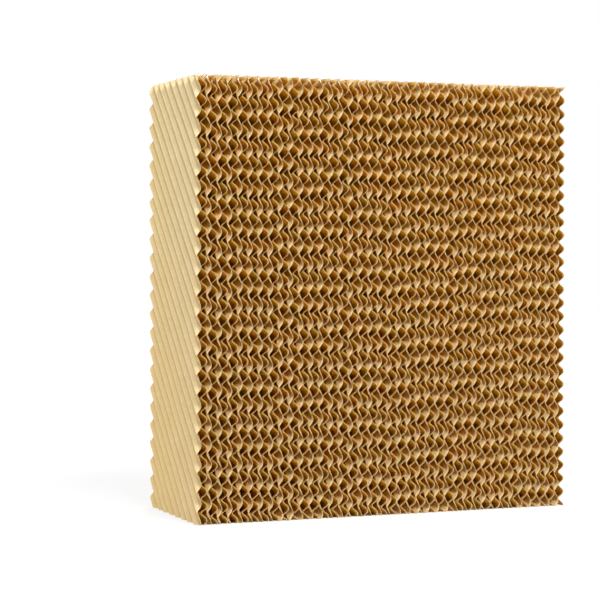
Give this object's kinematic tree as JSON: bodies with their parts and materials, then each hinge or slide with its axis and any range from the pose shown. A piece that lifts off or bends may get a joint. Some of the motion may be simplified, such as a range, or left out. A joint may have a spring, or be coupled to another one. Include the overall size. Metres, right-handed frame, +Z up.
{
  "type": "evaporative cooling pad",
  "caption": "Self-supporting block of crossed fluted paper sheets that is wetted from above so that air drawn through it is cooled.",
  "frame": {"origin": "middle of the block's bottom face, on the floor it stands on", "axes": "+X across the sheets to the right of the front, +Y from the front to the back along the air's way, +Z up"},
  "size_m": [0.5316, 0.2, 0.575],
  "materials": {
    "kraft_paper": "matte stiffened kraft paper"
  },
  "bodies": {
    "root": {"steep_sheets_01": "kraft_paper", "steep_sheets_02": "kraft_paper", "steep_sheets_03": "kraft_paper", "steep_sheets_04": "kraft_paper", "steep_sheets_05": "kraft_paper", "steep_sheets_06": "kraft_paper", "steep_sheets_07": "kraft_paper", "steep_sheets_08": "kraft_paper", "steep_sheets_09": "kraft_paper", "steep_sheets_10": "kraft_paper", "steep_sheets_11": "kraft_paper", "steep_sheets_12": "kraft_paper", "steep_sheets_13": "kraft_paper", "steep_sheets_14": "kraft_paper", "steep_sheets_15": "kraft_paper", "steep_sheets_16": "kraft_paper", "steep_sheets_17": "kraft_paper", "steep_sheets_18": "kraft_paper", "steep_sheets_19": "kraft_paper", "shallow_sheets_01": "kraft_paper", "shallow_sheets_02": "kraft_paper", "shallow_sheets_03": "kraft_paper", "shallow_sheets_04": "kraft_paper", "shallow_sheets_05": "kraft_paper", "shallow_sheets_06": "kraft_paper", "shallow_sheets_07": "kraft_paper", "shallow_sheets_08": "kraft_paper", "shallow_sheets_09": "kraft_paper", "shallow_sheets_10": "kraft_paper", "shallow_sheets_11": "kraft_paper", "shallow_sheets_12": "kraft_paper", "shallow_sheets_13": "kraft_paper", "shallow_sheets_14": "kraft_paper", "shallow_sheets_15": "kraft_paper", "shallow_sheets_16": "kraft_paper", "shallow_sheets_17": "kraft_paper", "shallow_sheets_18": "kraft_paper", "shallow_sheets_19": "kraft_paper"}
  },
  "joints": []
}
